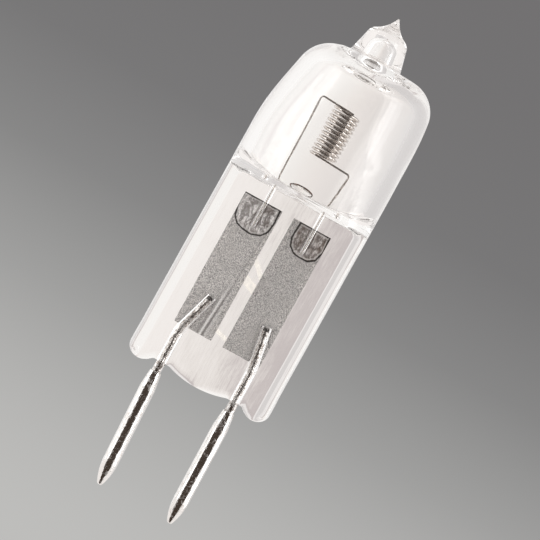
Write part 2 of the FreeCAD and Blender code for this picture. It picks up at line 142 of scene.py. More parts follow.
# %% A socket that does arithmetic
class Sock:
    def __init__(self, tree, output):
        self.tree = tree
        self.output = output

    def math(self, operation, *values):
        return node(self.tree, "ShaderNodeMath", {"operation": operation}, dict(enumerate(values)))

    def __add__(self, other):
        return self.math("ADD", self, other)

    def __radd__(self, other):
        return self.math("ADD", other, self)

    def __sub__(self, other):
        return self.math("SUBTRACT", self, other)

    def __rsub__(self, other):
        return self.math("SUBTRACT", other, self)

    def __mul__(self, other):
        return self.math("MULTIPLY", self, other)

    def __rmul__(self, other):
        return self.math("MULTIPLY", other, self)

    def __truediv__(self, other):
        return self.math("DIVIDE", self, other)

    def __rtruediv__(self, other):
        return self.math("DIVIDE", other, self)

    def __neg__(self):
        return self.math("MULTIPLY", self, -1.0)

    def __abs__(self):
        return self.math("ABSOLUTE", self)

    def step(self, low, high):
        """Smooth step from 0 at low to 1 at high."""
        settings = {"interpolation_type": "SMOOTHSTEP"}
        sockets = {"Value": self, "From Min": low, "From Max": high}
        if low > high:
            sockets.update({"From Min": high, "From Max": low, "To Min": 1.0, "To Max": 0.0})
        return node(self.tree, "ShaderNodeMapRange", settings, sockets)


def node(tree, kind, settings=None, sockets=None, output=0):
    """Add a node, set it up, feed its sockets with values or links, and hand back one output."""
    made = tree.nodes.new(kind)
    for key, value in (settings or {}).items():
        if key == "stops":
            elements = made.color_ramp.elements
            while len(elements) < len(value):
                elements.new(0.5)
            for element, (place, colour) in zip(elements, value):
                element.position = place
                element.color = (*colour, 1.0)
        else:
            setattr(made, key, value)
    for key, value in (sockets or {}).items():
        socket = made.inputs[key]
        if isinstance(value, Sock):
            tree.links.new(value.output, socket)
        else:
            socket.default_value = value
    return Sock(tree, made.outputs[output]) if made.outputs else None


def mix_colour(tree, factor, first, second):
    """A colour between two others, each of them a socket or its red, green and blue."""
    first, second = (item if isinstance(item, Sock) else (*item, 1.0) for item in (first, second))
    return node(tree, "ShaderNodeMix", {"data_type": "RGBA"}, {0: factor, 6: first, 7: second}, 2)


def painted(tree, base, layers):
    """A colour with others laid over it in turn, each by its mask."""
    for mask, colour in layers:
        base = mix_colour(tree, mask, base, colour)
    return base


# %% Helpers that start and finish a material
def start_material(name):
    material = bpy.data.materials.new(name)
    material.use_nodes = True
    material.node_tree.nodes.clear()
    return material, material.node_tree


def finish_material(tree, sockets):
    shader = node(tree, "ShaderNodeBsdfPrincipled", {}, sockets)
    node(tree, "ShaderNodeOutputMaterial", {}, {"Surface": shader})


def object_place(tree):
    return node(tree, "ShaderNodeTexCoord", {}, {}, "Object")


def axes(vector):
    """The x, y and z of a vector, as three sockets."""
    made = vector.tree.nodes.new("ShaderNodeSeparateXYZ")
    vector.tree.links.new(vector.output, made.inputs[0])
    return [Sock(vector.tree, output) for output in made.outputs]


def stretched(tree, place, scale):
    return node(tree, "ShaderNodeVectorMath", {"operation": "MULTIPLY"}, {0: place, 1: scale})


def speckle(tree, place, per_mm, detail=2.0, distortion=0.0):
    """Noise between 0 and 1, with its features counted per millimetre."""
    sockets = {"Vector": place, "Scale": per_mm / MM, "Detail": detail, "Distortion": distortion}
    return node(tree, "ShaderNodeTexNoise", {}, sockets)


def bumped(tree, strength, depth_mm, height):
    """A normal that follows a height, with depth_mm between its lowest and highest value."""
    sockets = {"Strength": strength, "Distance": depth_mm * MM, "Height": height}
    return node(tree, "ShaderNodeBump", {}, sockets)


# %% [markdown]
# The quartz capsule
#
# The capsule starts as a round quartz tube. Its top is closed to a dome with a drawn-off exhaust tip. Its
# lower half is pressed flat between jaws while hot, which leaves a thin seal between two ribs.
# It could be a lathe with booleans, but booleans leave long thin faces that show in refraction.
# So each ring of the tube is pushed in to the half thickness that the jaws leave at that place, with a
# smooth minimum that rounds the edges as molten glass does.

# %% Sizes of the capsule, in mm
PRESS_TOP = FOIL_TOP + 1.31
RIB_HALF = 1.52
FLAT_HALF = 1.4
FLAT_X = BODY_RADIUS - 0.83
FLAT_CORNER = 0.6
RIB_SLOPE = (-0.14, 0.40)
SHOULDER_BLEND = 0.3
NECK_RADIUS = 0.12
BOWL_RADIUS = 0.2
WALL = 1.05
ROOF_Z = PRESS_TOP + 12.0
ROOF_WALL = 1.1
BARREL_START = PRESS_TOP + 3.6
BARREL_RADIUS = 36.0
DOME_RADIUS = 2.66
FLOOR_Z = PRESS_TOP + 0.45
PIN_X = (pin_boxes["right"][0].x + pin_boxes["right"][1].x) / 2
AROUND = 208

SHOULDER_Z = PRESS_TOP + NECK_RADIUS
BOWL_Y = BODY_RADIUS - BOWL_RADIUS
BOWL_TOP = SHOULDER_Z + BOWL_RADIUS
print(f"the bulb stands on a shoulder at z {SHOULDER_Z:.2f}")


# %% Smooth blends and the shape that the jaws leave
def smooth_min(a, b, width):
    share = min(max(0.5 + 0.5 * (b - a) / width, 0.0), 1.0)
    return b + (a - b) * share - width * share * (1.0 - share)


def ease(value, low, high):
    t = min(max((value - low) / (high - low), 0.0), 1.0)
    return t * t * (3.0 - 2.0 * t)


def press_half(x, z, jaw):
    """Half thickness: what the jaws leave, or the thinner flat between the ribs."""
    reach_x = abs(x) - FLAT_X + FLAT_CORNER
    reach_z = z - PRESS_TOP + FLAT_CORNER
    past_corner = math.hypot(max(reach_x, 0.0), max(reach_z, 0.0))
    outside = past_corner + min(max(reach_x, reach_z), 0.0) - FLAT_CORNER
    blend = max(ease(outside, *RIB_SLOPE), ease(jaw, RIB_HALF, RIB_HALF + SHOULDER_BLEND))
    return FLAT_HALF + (jaw - FLAT_HALF) * blend


# %% Lower edge of the glass
NOTCH_HALF, NOTCH_RISE = 0.65, 0.55
MIDDLE_RISE = 0.13
CORNER_RISE = 1.05


def foot_line(x):
    """Height of the foot: three soft lobes with a notch at each wire."""
    inner, outer = PIN_X - NOTCH_HALF, PIN_X + NOTCH_HALF
    lobe = (outer + BODY_RADIUS) / 2
    x = abs(x)
    if x < inner:
        return FOOT_Z + MIDDLE_RISE + (NOTCH_RISE - MIDDLE_RISE) * (x / inner) ** 2
    if x < outer:
        return FOOT_Z + NOTCH_RISE
    if x < lobe:
        return FOOT_Z + NOTCH_RISE * ((lobe - x) / (lobe - outer)) ** 2
    share = min((x - lobe) / (BODY_RADIUS - lobe), 1.0)
    return FOOT_Z + CORNER_RISE * (1.0 - math.sqrt(1.0 - share * share))


print(f"the foot's notches reach up to z {foot_line(PIN_X):.2f}")


# %% Profile of the tube, dome and tip
def arc(centre, radius, start, end, count):
    """Points on an arc, after its start, with angles in degrees."""
    points = []
    for step in range(1, count + 1):
        angle = math.radians(start + (end - start) * step / count)
        points.append((centre[0] + radius * math.cos(angle), centre[1] + radius * math.sin(angle)))
    return points


def run(start, end, count):
    return [(start[0] + (end[0] - start[0]) * i / count, start[1] + (end[1] - start[1]) * i / count)
            for i in range(1, count + 1)]


def wall_profile(radius, barrel, dome, top):
    """From the straight wall over the drawn-in stretch and the dome's edge to the roof."""
    barrel_x = radius - barrel
    dome_z = top - dome
    dome_x = barrel_x + math.sqrt((barrel - dome) ** 2 - (dome_z - BARREL_START) ** 2)
    meet = math.degrees(math.atan2(dome_z - BARREL_START, dome_x - barrel_x))
    points = arc((barrel_x, BARREL_START), barrel, 0.0, meet, 18)
    return points + arc((dome_x, dome_z), dome, meet, 90.0, 22)


TIP_ROOT, TIP_NECK, TIP_SKIRT, TIP_SHOULDER = 2.1, 1.68, 1.9, 0.82
TIP_NIB, TIP_FLARE, TIP_FILLET = 0.08, 0.85, 0.3


def tip_profile():
    """Exhaust tip: tapered skirt, round shoulder and a drawn-out nib."""
    slant = math.hypot(TIP_ROOT - TIP_NECK, TIP_SKIRT)
    x = TIP_NECK - TIP_SHOULDER * TIP_SKIRT / slant
    z = ROOF_Z + TIP_SKIRT - TIP_SHOULDER * (TIP_ROOT - TIP_NECK) / slant
    inset, height = x - TIP_NIB, TIP_Z + TIP_FLARE - z
    excess = inset ** 2 + height ** 2 - TIP_FLARE ** 2 - TIP_SHOULDER ** 2
    spare = excess ** 2 - 4.0 * (TIP_SHOULDER * TIP_FLARE) ** 2
    swing = math.sqrt((excess * inset) ** 2 - (inset ** 2 - TIP_SHOULDER ** 2) * spare)
    aside = spare / (2.0 * (excess * inset + swing))
    flank = (TIP_NIB + aside, TIP_Z + TIP_FLARE)
    start = math.degrees(math.atan2(ROOF_Z + TIP_SKIRT - z, TIP_NECK - x))
    meet = math.degrees(math.atan2(flank[1] - z, flank[0] - x))
    end = math.degrees(math.atan2(TIP_FLARE, aside))
    points = arc((TIP_ROOT + TIP_FILLET, ROOF_Z + TIP_FILLET), TIP_FILLET, 270.0, 192.5, 6)
    points += run(points[-1], (TIP_NECK, ROOF_Z + TIP_SKIRT), 12)
    points += arc((x, z), TIP_SHOULDER, start, meet, 16)
    return points + arc(flank, math.hypot(aside, TIP_FLARE), 180.0 + meet, 180.0 + end, 18)


outer_profile = wall_profile(BODY_RADIUS, BARREL_RADIUS, DOME_RADIUS, ROOF_Z)
outer_profile += run(outer_profile[-1], (TIP_ROOT + TIP_FILLET, ROOF_Z), 4) + tip_profile()
print(f"{len(outer_profile)} rows from the wall to the nib")


# %% Rings of the outer surface
OUTER_WAVE, JAW_WAVE = 0.02, 0.005
EDGE_SOFT = 0.25
SAG, SAG_TILT = 0.33, 0.02
FOOT_ROUND = 0.3


def ripple(x, y, z, per_mm, seed):
    return noise.noise(Vector((x * per_mm + seed, y * per_mm - seed, z * per_mm + 2.0 * seed)))


def lean_in(x, y, z):
    """The hot dome sagged a little to one side, while the tip was drawn straight."""
    swell = ease(z, BARREL_START + 0.4, ROOF_Z - 1.45) * ease(math.hypot(x, y), 2.4, 3.6)
    return x + SAG * swell, y, z + SAG_TILT * x * swell


def outer_ring(radius, z, jaw=None, fade=0.0, inset=0.0, share=1.0):
    """One ring of the capsule, pushed in to the half thickness that the jaws leave."""
    ring = []
    for i in range(AROUND):
        angle = 2.0 * math.pi * i / AROUND
        waver = OUTER_WAVE * (ripple(math.cos(angle) * 6.0, math.sin(angle) * 6.0, z, 0.22, 3.0) - 1.0)
        waver *= ease(z, FOOT_Z + 0.5, FOOT_Z + 2.5)
        shrink = max(radius + waver * min(radius / 3.0, 1.0), 0.0)
        x = shrink * math.cos(angle)
        y = shrink * math.sin(angle)
        height = z + (foot_line(x) - FOOT_Z) * fade
        if jaw is not None and abs(y) > 1e-6:
            limit = (press_half(x, height, jaw) - inset) * share
            limit += JAW_WAVE * (ripple(x, 4.0 if y > 0 else -4.0, z, 0.55, 7.0) - 0.6)
            soft = min(EDGE_SOFT, max(BODY_RADIUS - jaw, 0.02))
            y = math.copysign(max(smooth_min(abs(y), limit, soft), 0.0), y)
        ring.append(lean_in(x, y, height))
    return ring


def foot_rings():
    """The foot's underside and its rounded edge."""
    rings = []
    for share in (0.0, 0.3, 0.65, 1.0):
        rings.append(outer_ring(BODY_RADIUS, FOOT_Z, RIB_HALF, 1.0, FOOT_ROUND, share))
    for step in range(1, 8):
        turn = math.radians(90.0 * step / 7)
        rise = FOOT_ROUND * (1.0 - math.cos(turn))
        push = FOOT_ROUND * (1.0 - math.sin(turn))
        rings.append(outer_ring(BODY_RADIUS, FOOT_Z + rise, RIB_HALF, 1.0, push))
    return rings


# %% Stack the outer surface from the foot to the nib
outer_rings = foot_rings()
fine_from = PRESS_TOP - 1.0
heights = [FOOT_Z + FOOT_ROUND + 0.3 * i for i in range(1, 52)]
heights = [z for z in heights if z < fine_from] + [fine_from + 0.05 * i for i in range(21)]
for z in heights:
    outer_rings.append(outer_ring(BODY_RADIUS, z, RIB_HALF, 1.0 - ease(z, FOOT_Z + 0.5, FOOT_Z + 3.4)))
shoulder = arc((RIB_HALF + NECK_RADIUS, PRESS_TOP), NECK_RADIUS, 180.0, 90.0, 10)
shoulder += run(shoulder[-1], (BOWL_Y, SHOULDER_Z), 16)
shoulder += arc((BOWL_Y, BOWL_TOP), BOWL_RADIUS, 270.0, 360.0, 20)
outer_rings += [outer_ring(BODY_RADIUS, z, jaw) for jaw, z in shoulder]
straight_wall = [(BODY_RADIUS, BOWL_TOP + rise) for rise in (0.05, 0.2, 0.5, 1.0, 1.8)]
straight_wall.append((BODY_RADIUS, BARREL_START))
outer_rings += [outer_ring(radius, z) for radius, z in straight_wall + outer_profile]
print(f"{len(outer_rings)} rings on the outer surface")

# %% [markdown]
# The gas space
#
# The bulb is hollow, and its inner surface bends light as strongly as the outer one. Glass is thickest at
# the roof and round the floor, where the hot tube was closed. The inner surface is its own stack of rings
# with the faces turned into the gas, so that a ray always knows which side is glass.
# The floor turns up sharply at the front and back and widely at the sides, as the jaws left it.

# %% Rings of the inner surface
GAS_RADIUS = BODY_RADIUS - WALL
INNER_ROOF = ROOF_Z - ROOF_WALL
FRONT_CORNER, SIDE_CORNER = 0.1, 1.2
TROUGH_RISE = 0.4
FLOOR_WAVE, WALL_WAVE, ROW_WAVE = 0.08, 0.05, 0.03
BORE_RADIUS, BORE_FILLET = 0.95, 0.45
BORE_END, BORE_TOP = 0.8, ROOF_Z + 1.0


def floor_corner(angle):
    """The floor's rounding: tight at the front and back, wide at the sides."""
    return FRONT_CORNER + (SIDE_CORNER - FRONT_CORNER) * abs(math.cos(angle)) ** 3


def floor_ring(share, turn):
    """A ring of the floor: its share of the flat, then the turn up into the wall."""
    ring = []
    for i in range(AROUND):
        angle = 2.0 * math.pi * i / AROUND
        corner = floor_corner(angle)
        radius = (GAS_RADIUS - corner) * share + corner * math.sin(turn)
        x = radius * math.cos(angle)
        y = radius * math.sin(angle)
        rise = TROUGH_RISE * abs(x / GAS_RADIUS) ** 2.5 + FLOOR_WAVE * ripple(x, y, FLOOR_Z, 0.6, 5.0)
        ring.append((x, y, FLOOR_Z + corner * (1.0 - math.cos(turn)) + rise * math.cos(turn)))
    return ring


def gas_ring(radius, z):
    """A ring of the wall, dome or bore, with the slow waves of blown glass."""
    ring = []
    for i in range(AROUND):
        angle = 2.0 * math.pi * i / AROUND
        waver = WALL_WAVE * ripple(math.cos(angle) * 5.0, math.sin(angle) * 5.0, z, 0.3, 11.0)
        waver *= ease(z, FLOOR_Z + 1.8, FLOOR_Z + 4.5)
        spread = max(radius + waver * min(radius / 4.0, 1.0), 0.0)
        x = spread * math.cos(angle)
        y = spread * math.sin(angle)
        ring.append(lean_in(x, y, z + ROW_WAVE * ripple(x, y, z, 0.5, 5.0)))
    return ring


# %% Stack the inner surface from the floor to the end of the bore
gas_rings = [floor_ring(step / 40, 0.0) for step in range(41)]
gas_rings += [floor_ring(1.0, math.pi / 2 * step / 20) for step in range(1, 21)]
gas_profile = [(GAS_RADIUS, FLOOR_Z + SIDE_CORNER + rise) for rise in (0.1, 0.4, 0.9)]
gas_profile.append((GAS_RADIUS, BARREL_START))
gas_profile += wall_profile(GAS_RADIUS, BARREL_RADIUS - WALL, DOME_RADIUS - WALL, INNER_ROOF)
gas_profile += run(gas_profile[-1], (BORE_RADIUS + BORE_FILLET, INNER_ROOF), 5)
gas_profile += arc((BORE_RADIUS + BORE_FILLET, INNER_ROOF + BORE_FILLET), BORE_FILLET, 270.0, 180.0, 8)
gas_profile += run(gas_profile[-1], (BORE_END, BORE_TOP), 8)
gas_profile += arc((0.0, BORE_TOP), BORE_END, 0.0, 88.0, 10)
gas_rings += [gas_ring(radius, z) for radius, z in gas_profile]
print(f"{len(gas_rings)} rings on the inner surface")

# %% [markdown]
# Wires that the glass did not wet
#
# Quartz shrinks less than metal, so a hair-thin gap is left round every wire that passes through the seal.
# That gap mirrors light all along the wire, which is why a wire in quartz looks like two bright lines.
# Each gap is a thin tube of its own inside the glass.


# %% Tubes along a path
def spaced(points, step):
    """The same path with points no further apart than step."""
    made = [points[0]]
    for before, after in zip(points, points[1:]):
        pieces = max(1, math.ceil((after - before).length / step))
        made += [before.lerp(after, i / pieces) for i in range(1, pieces + 1)]
    return made


def tube_rings(points, radius_at, sides, back_limit=None):
    """Rings along a path; back_limit flattens them against the foil behind."""
    rings = []
    normal = Vector((0.0, -1.0, 0.0))
    for index, point in enumerate(points):
        ahead = points[min(index + 1, len(points) - 1)] - points[max(index - 1, 0)]
        ahead.normalize()
        normal = (normal - ahead * normal.dot(ahead)).normalized()
        aside = ahead.cross(normal)
        radius = radius_at(index)
        ring = []
        for i in range(sides):
            angle = 2.0 * math.pi * i / sides
            place = point + (normal * math.cos(angle) + aside * math.sin(angle)) * radius
            if back_limit is not None and place.z > FOIL_BASE - 0.05:
                place.y = min(place.y, back_limit)
            ring.append(tuple(place))
        rings.append(ring)
    return rings


# %% Paths of the lead wires and filament legs
LEAD_RADIUS = 0.37
LEAD_BEND = 4.0
LEAD_BEND_Z = FOOT_Z + 2.8
LEAD_END_Z = FOIL_BASE + 2.9
LEAD_SET = {"left": 0.97, "right": 0.57}
LEG_X = {"left": -2.1, "right": 2.14}
LEG_Y = 0.205
LEG_END_Z = FOIL_TOP - 2.05
WIRE_RADIUS = 0.078


def lead_path(side):
    """From the pin straight up, then leaning in to the weld on the foil."""
    hand = SIDES[side]
    run_x = LEAD_BEND - LEAD_SET[side]
    climb = LEAD_END_Z - LEAD_BEND_Z
    reach = run_x ** 2 + climb ** 2
    share = LEAD_BEND ** 2 / reach
    swing = LEAD_BEND * math.sqrt(reach - LEAD_BEND ** 2) / reach
    touch_x = PIN_X - LEAD_BEND + run_x * share + climb * swing
    touch_z = LEAD_BEND_Z + climb * share - run_x * swing
    turn = math.degrees(math.atan2(touch_z - LEAD_BEND_Z, touch_x - PIN_X + LEAD_BEND))
    flat = [(PIN_X, lead_boxes[side][0].z), (PIN_X, LEAD_BEND_Z)]
    flat += arc((PIN_X - LEAD_BEND, LEAD_BEND_Z), LEAD_BEND, 0.0, turn, 12)
    flat.append((PIN_X - LEAD_SET[side], LEAD_END_Z))
    return [Vector((x * hand, 0.0, z)) for x, z in flat]


# %% Gaps round the wires
LEAD_GAP, LEG_GAP = 0.05, 0.12
GAP_BACK = FOIL_BACK - 0.03
END_ROOM = 0.08
gap_shells = []
for side in SIDES:
    lead_line = [point for point in spaced(lead_path(side), 0.12) if point.z > FOOT_Z + 0.62]
    lead_line.append(lead_line[-1] + (lead_line[-1] - lead_line[-2]).normalized() * END_ROOM)
    leg_foot = Vector((LEG_X[side], LEG_Y, LEG_END_Z - END_ROOM))
    leg_line = spaced([leg_foot, Vector((LEG_X[side], LEG_Y, FLOOR_Z - 0.02))], 0.15)
    lead_rings = tube_rings(lead_line, lambda index: LEAD_RADIUS + LEAD_GAP, 28, GAP_BACK)
    leg_rings = tube_rings(leg_line, lambda index: WIRE_RADIUS + LEG_GAP, 20, GAP_BACK)
    gap_shells += [skin(lead_rings, True), skin(leg_rings, True)]
print(f"{len(gap_shells)} gaps in the seal")

# %% Bead of glass on the floor, and the whole capsule
BEAD = Vector((-0.2, -0.6, FLOOR_Z + 0.31))
BEAD_REACH = Vector((0.92, 0.22, 0.27))
BEAD_STEPS = 24


def bead_shell():
    """The small bead of glass that stands on the floor of the gas space."""
    rings = []
    for step in range(BEAD_STEPS + 1):
        turn = math.pi * step / BEAD_STEPS
        width = math.sin(turn)
        ring = []
        for i in range(BEAD_STEPS):
            angle = 2.0 * math.pi * i / BEAD_STEPS
            ring.append((BEAD.x - BEAD_REACH.x * math.cos(turn),
                         BEAD.y + BEAD_REACH.y * width * math.cos(angle),
                         BEAD.z + BEAD_REACH.z * width * math.sin(angle)))
        rings.append(ring)
    return skin(rings)


glass_skins = [skin(outer_rings), skin(gas_rings, True), bead_shell()]
capsule = merge_shells("glass_shell", glass_skins + gap_shells)
print(f"the capsule has {count_triangles(capsule)} triangles")

# %% [markdown]
# Quartz
#
# Clear quartz is a clean dielectric with an index of about 1.46. What makes it read as a pressed lamp and
# not as a lens is a faint unevenness: soft ripples where the jaws squeezed it, and tiny streaks along the
# draw. Both go into a Bump node on the normal, and the colour stays a hair warm.
# Three pale slanted scars lie on the back of the press, between the foils. A Mix Shader goes from clear to
# frosted glass there. The frost has a painted glow, an emission that keeps it paler than the glass.

# %% Quartz material: unevenness and scars
SCARS = ((1.0, 11.52, 12.08), (0.43, 10.12, 10.9), (0.3, 5.95, 6.3))
SCAR_SOFT = 0.06
SCAR_SHARE = 0.6
quartz, tree = start_material("clear_quartz")
place = object_place(tree)
at_x, at_y, at_z = (axis / MM for axis in axes(place))
swirl = speckle(tree, place, 0.9, 2.0)
streak = speckle(tree, stretched(tree, place, (1.0, 1.0, 0.12)), 4.0, 2.0)
below_tip = at_z.step(ROOF_Z + 0.6, ROOF_Z - 0.2)


def scar_band(slant, low, high):
    """1 on a slanted band that lies between two heights in the middle of the press."""
    level = at_z + slant * at_x
    return level.step(low - SCAR_SOFT, low + SCAR_SOFT) * level.step(high + SCAR_SOFT, high - SCAR_SOFT)


between_foils = abs(at_x + 0.1).step(0.75, 0.65)
on_back = at_y.step(0.8, 1.0)
frost = sum(scar_band(*scar) for scar in SCARS) * between_foils * on_back
frost = frost * (0.5 + 0.5 * speckle(tree, place, 3.0, 3.0))
print(f"{len(SCARS)} scars on the back of the press")

# %% Quartz material: clear glass, and frosted glass with a painted glow
QUARTZ_IOR = 1.46
clear = node(tree, "ShaderNodeBsdfPrincipled", {}, {
    "Base Color": (0.985, 0.975, 0.965, 1.0), "Roughness": 0.0, "IOR": QUARTZ_IOR,
    "Transmission Weight": 1.0, "Normal": bumped(tree, 0.25, 0.02, (swirl + 0.35 * streak) * below_tip)})
# The frosted scar's emission is a painted glow in place of the studio light that it would scatter.
scar = node(tree, "ShaderNodeBsdfPrincipled", {}, {
    "Base Color": (0.90, 0.86, 0.78, 1.0), "Roughness": 0.8, "IOR": QUARTZ_IOR,
    "Emission Color": (1.0, 0.95, 0.85, 1.0), "Emission Strength": 0.55})
mixed = node(tree, "ShaderNodeMixShader", {}, {0: frost * SCAR_SHARE, 1: clear, 2: scar})
node(tree, "ShaderNodeOutputMaterial", {}, {"Surface": mixed})
capsule.data.materials.append(quartz)
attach(capsule, "root")
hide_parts("glass_envelope")
print("the capsule is quartz")

# %% [markdown]
# The bead's burnt rim
#
# A small bead of glass stands on the floor of the gas space, left from closing the seal, and its rim is
# burnt brown. The rim is a thin uneven ring round the bead, so that it stays visible in the clear glass.

# %% Rim of the bead
RIM_THICK = 0.07
RIM_STEPS, RIM_SIDES = 72, 10


def bead_rim():
    rings = []
    for step in range(RIM_SIDES + 1):
        turn = 2.0 * math.pi * step / RIM_SIDES
        ring = []
        for i in range(RIM_STEPS):
            angle = 2.0 * math.pi * i / RIM_STEPS
            thick = RIM_THICK * (0.7 + 0.5 * ripple(math.cos(angle), math.sin(angle), 0.0, 1.7, 31.0))
            grow = 0.02 + thick * math.cos(turn)
            ring.append((BEAD.x + (BEAD_REACH.x + grow) * math.cos(angle),
                         BEAD.y + thick * math.sin(turn),
                         BEAD.z + (BEAD_REACH.z + grow) * math.sin(angle)))
        rings.append(ring)
    return merge_shells("bead_rim", [skin(rings, capped=False)])


burnt, tree = start_material("burnt_glass_rim")
soot = speckle(tree, object_place(tree), 2.5, 2.0)
finish_material(tree, {
    "Base Color": mix_colour(tree, soot.step(0.35, 0.65), (0.05, 0.02, 0.01), (0.20, 0.10, 0.06)),
    "Roughness": 0.35,
})
rim = bead_rim()
rim.data.materials.append(burnt)
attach(rim, "root")
print(f"the rim has {count_triangles(rim)} triangles")

# %% [markdown]
# The filament
#
# One tungsten wire is wound into an upright coil, and its two ends run down as legs into the seal.
# A coil follows a rule, so Geometry Nodes make it: a spiral for the coil, and the legs as poly lines whose
# corners are rounded by a Fillet. A round profile is swept along each, and the coil's is thicker, as it
# looks in the lamp. The coil's ends fold forward into the legs.

# %% Sizes of the filament, in mm
COIL_RADIUS = 1.02
COIL_WIRE = 0.118
COIL_TURNS = 11.0 + 60.0 / 360.0
COIL_START = math.radians(240.0)
COIL_HEIGHT = 3.9
COIL_BASE = FLOOR_Z + 3.25
FOLD = Vector((0.5 * COIL_RADIUS, -0.866 * COIL_RADIUS))
LEG_JOIN = {"left": COIL_BASE + COIL_HEIGHT + 0.07, "right": COIL_BASE - 0.05}
LEG_SPREAD = {"left": 2.24, "right": 2.48}
LEG_TILT = 0.15
LEG_CORNER = 0.22
KNEE_X = {"left": -2.2, "right": 2.27}
KNEE_Z = FLOOR_Z + 0.6
print(f"{COIL_TURNS:.2f} turns between z {COIL_BASE:.2f} and {COIL_BASE + COIL_HEIGHT:.2f}")

# %% Geometry Nodes for the coil and its legs
COIL_SIZES = ("Leg radius", "Coil wire radius", "Coil radius", "Turns", "Coil height", "Coil base",
              "Corner radius")


def tree_input(group, label, kind):
    return group.interface.new_socket(name=label, in_out="INPUT", socket_type=kind)


def coil_tree(material):
    """Spiral and filleted legs, each swept by a round wire of its own thickness."""
    group = bpy.data.node_groups.new("coiled_wire", "GeometryNodeTree")
    group.interface.new_socket(name="Wire", in_out="OUTPUT", socket_type="NodeSocketGeometry")
    tree_input(group, "Legs", "NodeSocketGeometry")
    for label in COIL_SIZES:
        tree_input(group, label, "NodeSocketFloat")
    entry = group.nodes.new("NodeGroupInput")
    socket = {item.name: Sock(group, item) for item in entry.outputs if item.name}
    spiral = node(group, "GeometryNodeCurveSpiral", {}, {
        "Resolution": 40, "Rotations": socket["Turns"], "Start Radius": socket["Coil radius"],
        "End Radius": socket["Coil radius"], "Height": socket["Coil height"]})
    lift = node(group, "ShaderNodeCombineXYZ", {}, {"Z": socket["Coil base"]})
    placed = node(group, "GeometryNodeTransform", {}, {
        "Geometry": spiral, "Translation": lift, "Rotation": (0.0, 0.0, COIL_START)})
    rounded = node(group, "GeometryNodeFilletCurve", {"mode": "POLY"}, {
        "Curve": socket["Legs"], "Radius": socket["Corner radius"], "Count": 8, "Limit Radius": True})
    joined = group.nodes.new("GeometryNodeJoinGeometry")
    for path, thickness in ((placed, "Coil wire radius"), (rounded, "Leg radius")):
        profile = node(group, "GeometryNodeCurvePrimitiveCircle", {}, {
            "Resolution": 12, "Radius": socket[thickness]})
        swept = node(group, "GeometryNodeCurveToMesh", {}, {
            "Curve": path, "Profile Curve": profile, "Fill Caps": True})
        group.links.new(swept.output, joined.inputs[0])
    smooth = node(group, "GeometryNodeSetShadeSmooth", {}, {"Geometry": Sock(group, joined.outputs[0])})
    coated = node(group, "GeometryNodeSetMaterial", {}, {"Geometry": smooth, "Material": material})
    real = node(group, "GeometryNodeRealizeInstances", {}, {"Geometry": coated})
    leave = group.nodes.new("NodeGroupOutput")
    group.links.new(real.output, leave.inputs[0])
    return group


def leg_lines():
    """A poly curve with the corner points of both legs."""
    lines = bpy.data.curves.new("filament_legs", "CURVE")
    lines.dimensions = "3D"
    for side, hand in SIDES.items():
        join = LEG_JOIN[side]
        corners = [(-hand * FOLD.x, FOLD.y, join),
                   (hand * LEG_SPREAD[side], FOLD.y, join - hand * LEG_TILT),
                   (KNEE_X[side], LEG_Y, KNEE_Z),
                   (LEG_X[side], LEG_Y, FLOOR_Z + 0.02),
                   (LEG_X[side], LEG_Y, LEG_END_Z)]
        spline = lines.splines.new("POLY")
        spline.points.add(len(corners) - 1)
        for point, corner in zip(spline.points, corners):
            point.co = (*(Vector(corner) * MM), 1.0)
    return lines


def from_nodes(name, data, group, values):
    """Run a node tree on an object and hand back its result as a plain mesh object."""
    maker = bpy.data.objects.new(name + "_maker", data)
    bpy.context.scene.collection.objects.link(maker)
    modifier = maker.modifiers.new("nodes", "NODES")
    modifier.node_group = group
    for item in group.interface.items_tree:
        if item.in_out == "INPUT" and item.name in values:
            modifier[item.identifier] = values[item.name]
    evaluated = maker.evaluated_get(bpy.context.evaluated_depsgraph_get())
    mesh = bpy.data.meshes.new_from_object(evaluated)
    bpy.data.objects.remove(maker)
    mesh.name = name
    piece = bpy.data.objects.new(name, mesh)
    bpy.context.scene.collection.objects.link(piece)
    return piece


# %% Tungsten material
tungsten, tree = start_material("drawn_tungsten")
grain = speckle(tree, object_place(tree), 7.0, 3.0)
finish_material(tree, {
    "Base Color": mix_colour(tree, grain.step(0.35, 0.7), (0.58, 0.53, 0.49), (0.88, 0.855, 0.83)),
    "Metallic": 1.0,
    "Roughness": 0.02 + 0.06 * grain,
})
print("tungsten is a bright grey metal")

# %% Build the filament
filament = from_nodes("filament_wire", leg_lines(), coil_tree(tungsten), {
    "Leg radius": WIRE_RADIUS * MM, "Coil wire radius": COIL_WIRE * MM, "Coil radius": COIL_RADIUS * MM,
    "Turns": COIL_TURNS, "Coil height": COIL_HEIGHT * MM, "Coil base": COIL_BASE * MM,
    "Corner radius": LEG_CORNER * MM})
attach(filament, "root")
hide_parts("filament")
print(f"the filament has {count_triangles(filament)} triangles")
